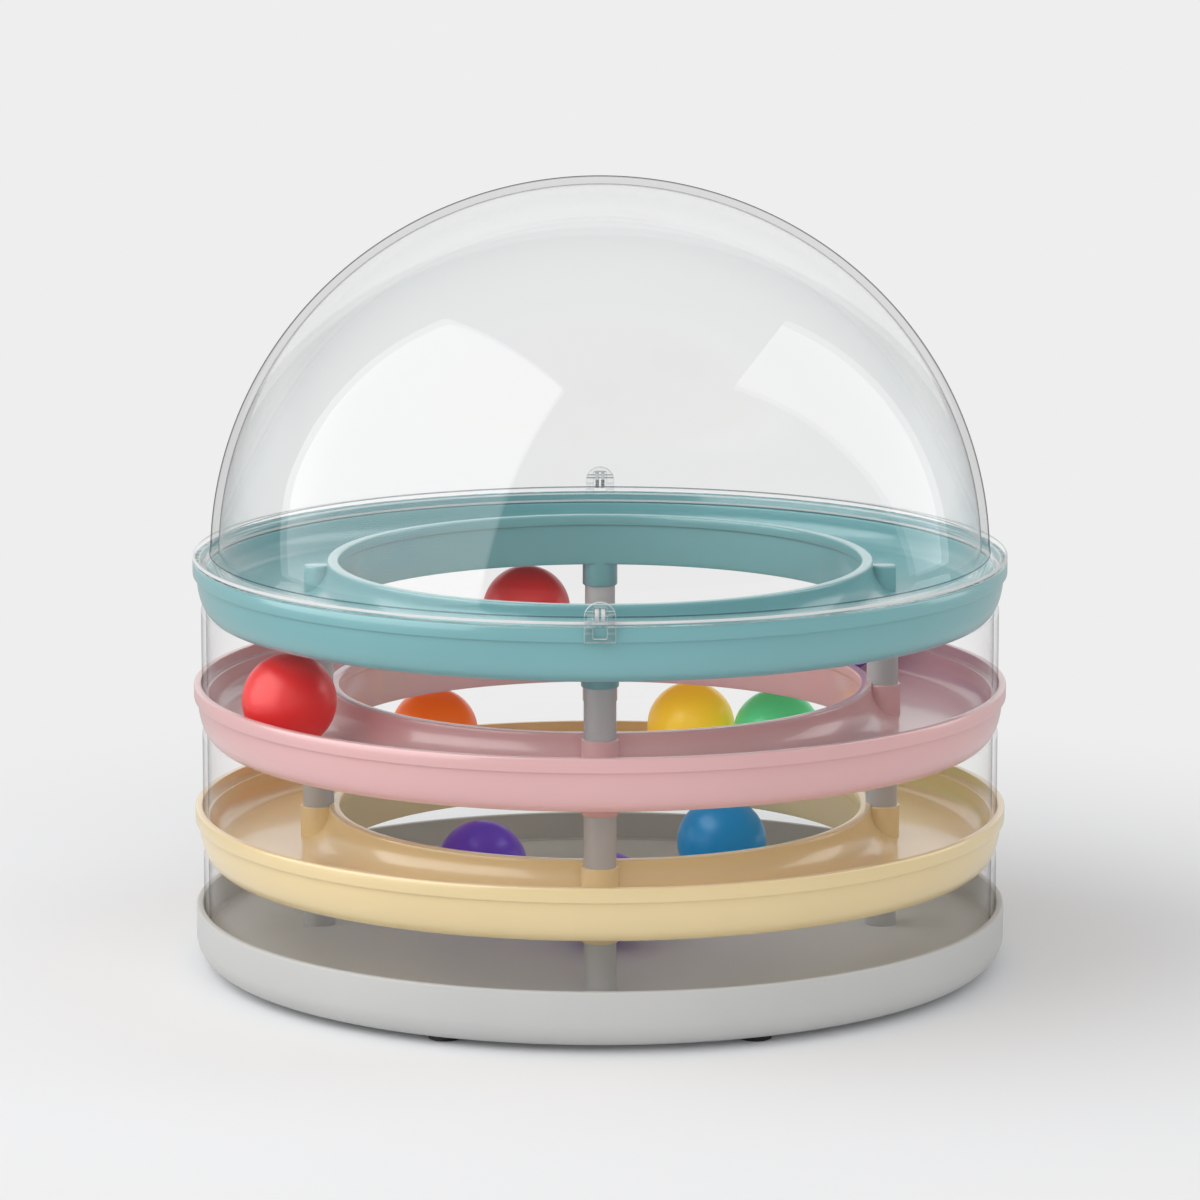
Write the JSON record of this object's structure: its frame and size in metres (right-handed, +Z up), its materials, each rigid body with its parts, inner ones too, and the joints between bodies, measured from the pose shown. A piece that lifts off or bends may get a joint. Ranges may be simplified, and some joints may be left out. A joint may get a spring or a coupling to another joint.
{
  "type": "cat ball track tower",
  "caption": "Round pet toy tower of stacked ring tracks with loose rolling balls behind clear walls, on a tray base, under a clear lift-off dome.",
  "frame": {"origin": "on the floor, in the middle, under the feet", "axes": "+Z up along the tower, -Y towards the pictured front, +X to its right"},
  "size_m": [0.3, 0.3064, 0.2915],
  "materials": {
    "base_grey": "satin light grey moulding",
    "track_yellow": "pale yellow moulding",
    "track_pink": "pale pink moulding",
    "track_teal": "pale teal moulding",
    "post_grey": "satin grey",
    "clear_wall": "clear",
    "clear_dome": "clear",
    "clear_clip": "clear",
    "foot_rubber": "black",
    "ball_red": "satin",
    "ball_orange": "satin",
    "ball_yellow": "satin",
    "ball_green": "satin",
    "ball_blue": "satin",
    "ball_violet": "satin"
  },
  "bodies": {
    "tower": {"base_tray": "base_grey", "yellow_track": "track_yellow", "pink_track": "track_pink", "teal_track": "track_teal", "foot_1": "foot_rubber", "foot_2": "foot_rubber", "foot_3": "foot_rubber", "foot_4": "foot_rubber", "foot_5": "foot_rubber", "foot_6": "foot_rubber", "lower_post_1": "post_grey", "lower_post_2": "post_grey", "lower_post_3": "post_grey", "lower_post_4": "post_grey", "middle_post_1": "post_grey", "middle_post_2": "post_grey", "middle_post_3": "post_grey", "middle_post_4": "post_grey", "upper_post_1": "post_grey", "upper_post_2": "post_grey", "upper_post_3": "post_grey", "upper_post_4": "post_grey", "lower_sleeve": "clear_wall", "middle_sleeve": "clear_wall", "upper_sleeve": "clear_wall"},
    "dome": {"dome": "clear_dome", "front_clip_pin": "clear_clip", "rear_clip_pin": "clear_clip"},
    "front_clip": {"front_clip": "clear_clip"},
    "rear_clip": {"rear_clip": "clear_clip"},
    "ball_red_front": {"ball_red_front": "ball_red"},
    "ball_red_rear": {"ball_red_rear": "ball_red"},
    "ball_violet_high": {"ball_violet_high": "ball_violet"},
    "ball_orange": {"ball_orange": "ball_orange"},
    "ball_yellow": {"ball_yellow": "ball_yellow"},
    "ball_green": {"ball_green": "ball_green"},
    "ball_blue": {"ball_blue": "ball_blue"},
    "ball_violet_low": {"ball_violet_low": "ball_violet"},
    "ball_violet_front": {"ball_violet_front": "ball_violet"}
  },
  "joints": [
    {"name": "dome_lift", "type": "slide", "parent": "tower", "child": "dome", "axis": [0, 0, 1], "range_m": [0, 0.12]},
    {"name": "front_clip_swing", "type": "hinge", "parent": "dome", "child": "front_clip", "pos_m": [0, -0.1516, 0.1575], "axis": [-1, 0, 0], "range_deg": [0, 60]},
    {"name": "rear_clip_swing", "type": "hinge", "parent": "dome", "child": "rear_clip", "pos_m": [0, 0.1516, 0.1575], "axis": [1, 0, 0], "range_deg": [0, 60]},
    {"name": "red_front_roll", "type": "hinge", "parent": "tower", "child": "ball_red_front", "pos_m": [0, 0, 0.1093], "axis": [0, 0, 1], "range_deg": [-45, 87]},
    {"name": "red_rear_roll", "type": "hinge", "parent": "tower", "child": "ball_red_rear", "pos_m": [0, 0, 0.1093], "axis": [0, 0, 1], "range_deg": [-23, 45]},
    {"name": "violet_high_roll", "type": "hinge", "parent": "tower", "child": "ball_violet_high", "pos_m": [0, 0, 0.1093], "axis": [0, 0, 1], "range_deg": [-90, 19]},
    {"name": "orange_roll", "type": "hinge", "parent": "tower", "child": "ball_orange", "pos_m": [0, 0, 0.0633], "axis": [0, 0, 1], "range_deg": [0, 140]},
    {"name": "yellow_roll", "type": "hinge", "parent": "tower", "child": "ball_yellow", "pos_m": [0, 0, 0.0633], "axis": [0, 0, 1], "range_deg": [0, 30]},
    {"name": "green_roll", "type": "hinge", "parent": "tower", "child": "ball_green", "pos_m": [0, 0, 0.0633], "axis": [0, 0, 1], "range_deg": [-140, 0]},
    {"name": "blue_roll", "type": "hinge", "parent": "tower", "child": "ball_blue", "pos_m": [0, 0, 0.0299], "axis": [0, 0, 1], "range_deg": [-58, 46]},
    {"name": "violet_low_roll", "type": "hinge", "parent": "tower", "child": "ball_violet_low", "pos_m": [0, 0, 0.0299], "axis": [0, 0, 1], "range_deg": [-30, 40]},
    {"name": "violet_front_roll", "type": "slide", "parent": "tower", "child": "ball_violet_front", "axis": [1, 0, 0], "range_m": [-0.015, 0.04]}
  ]
}
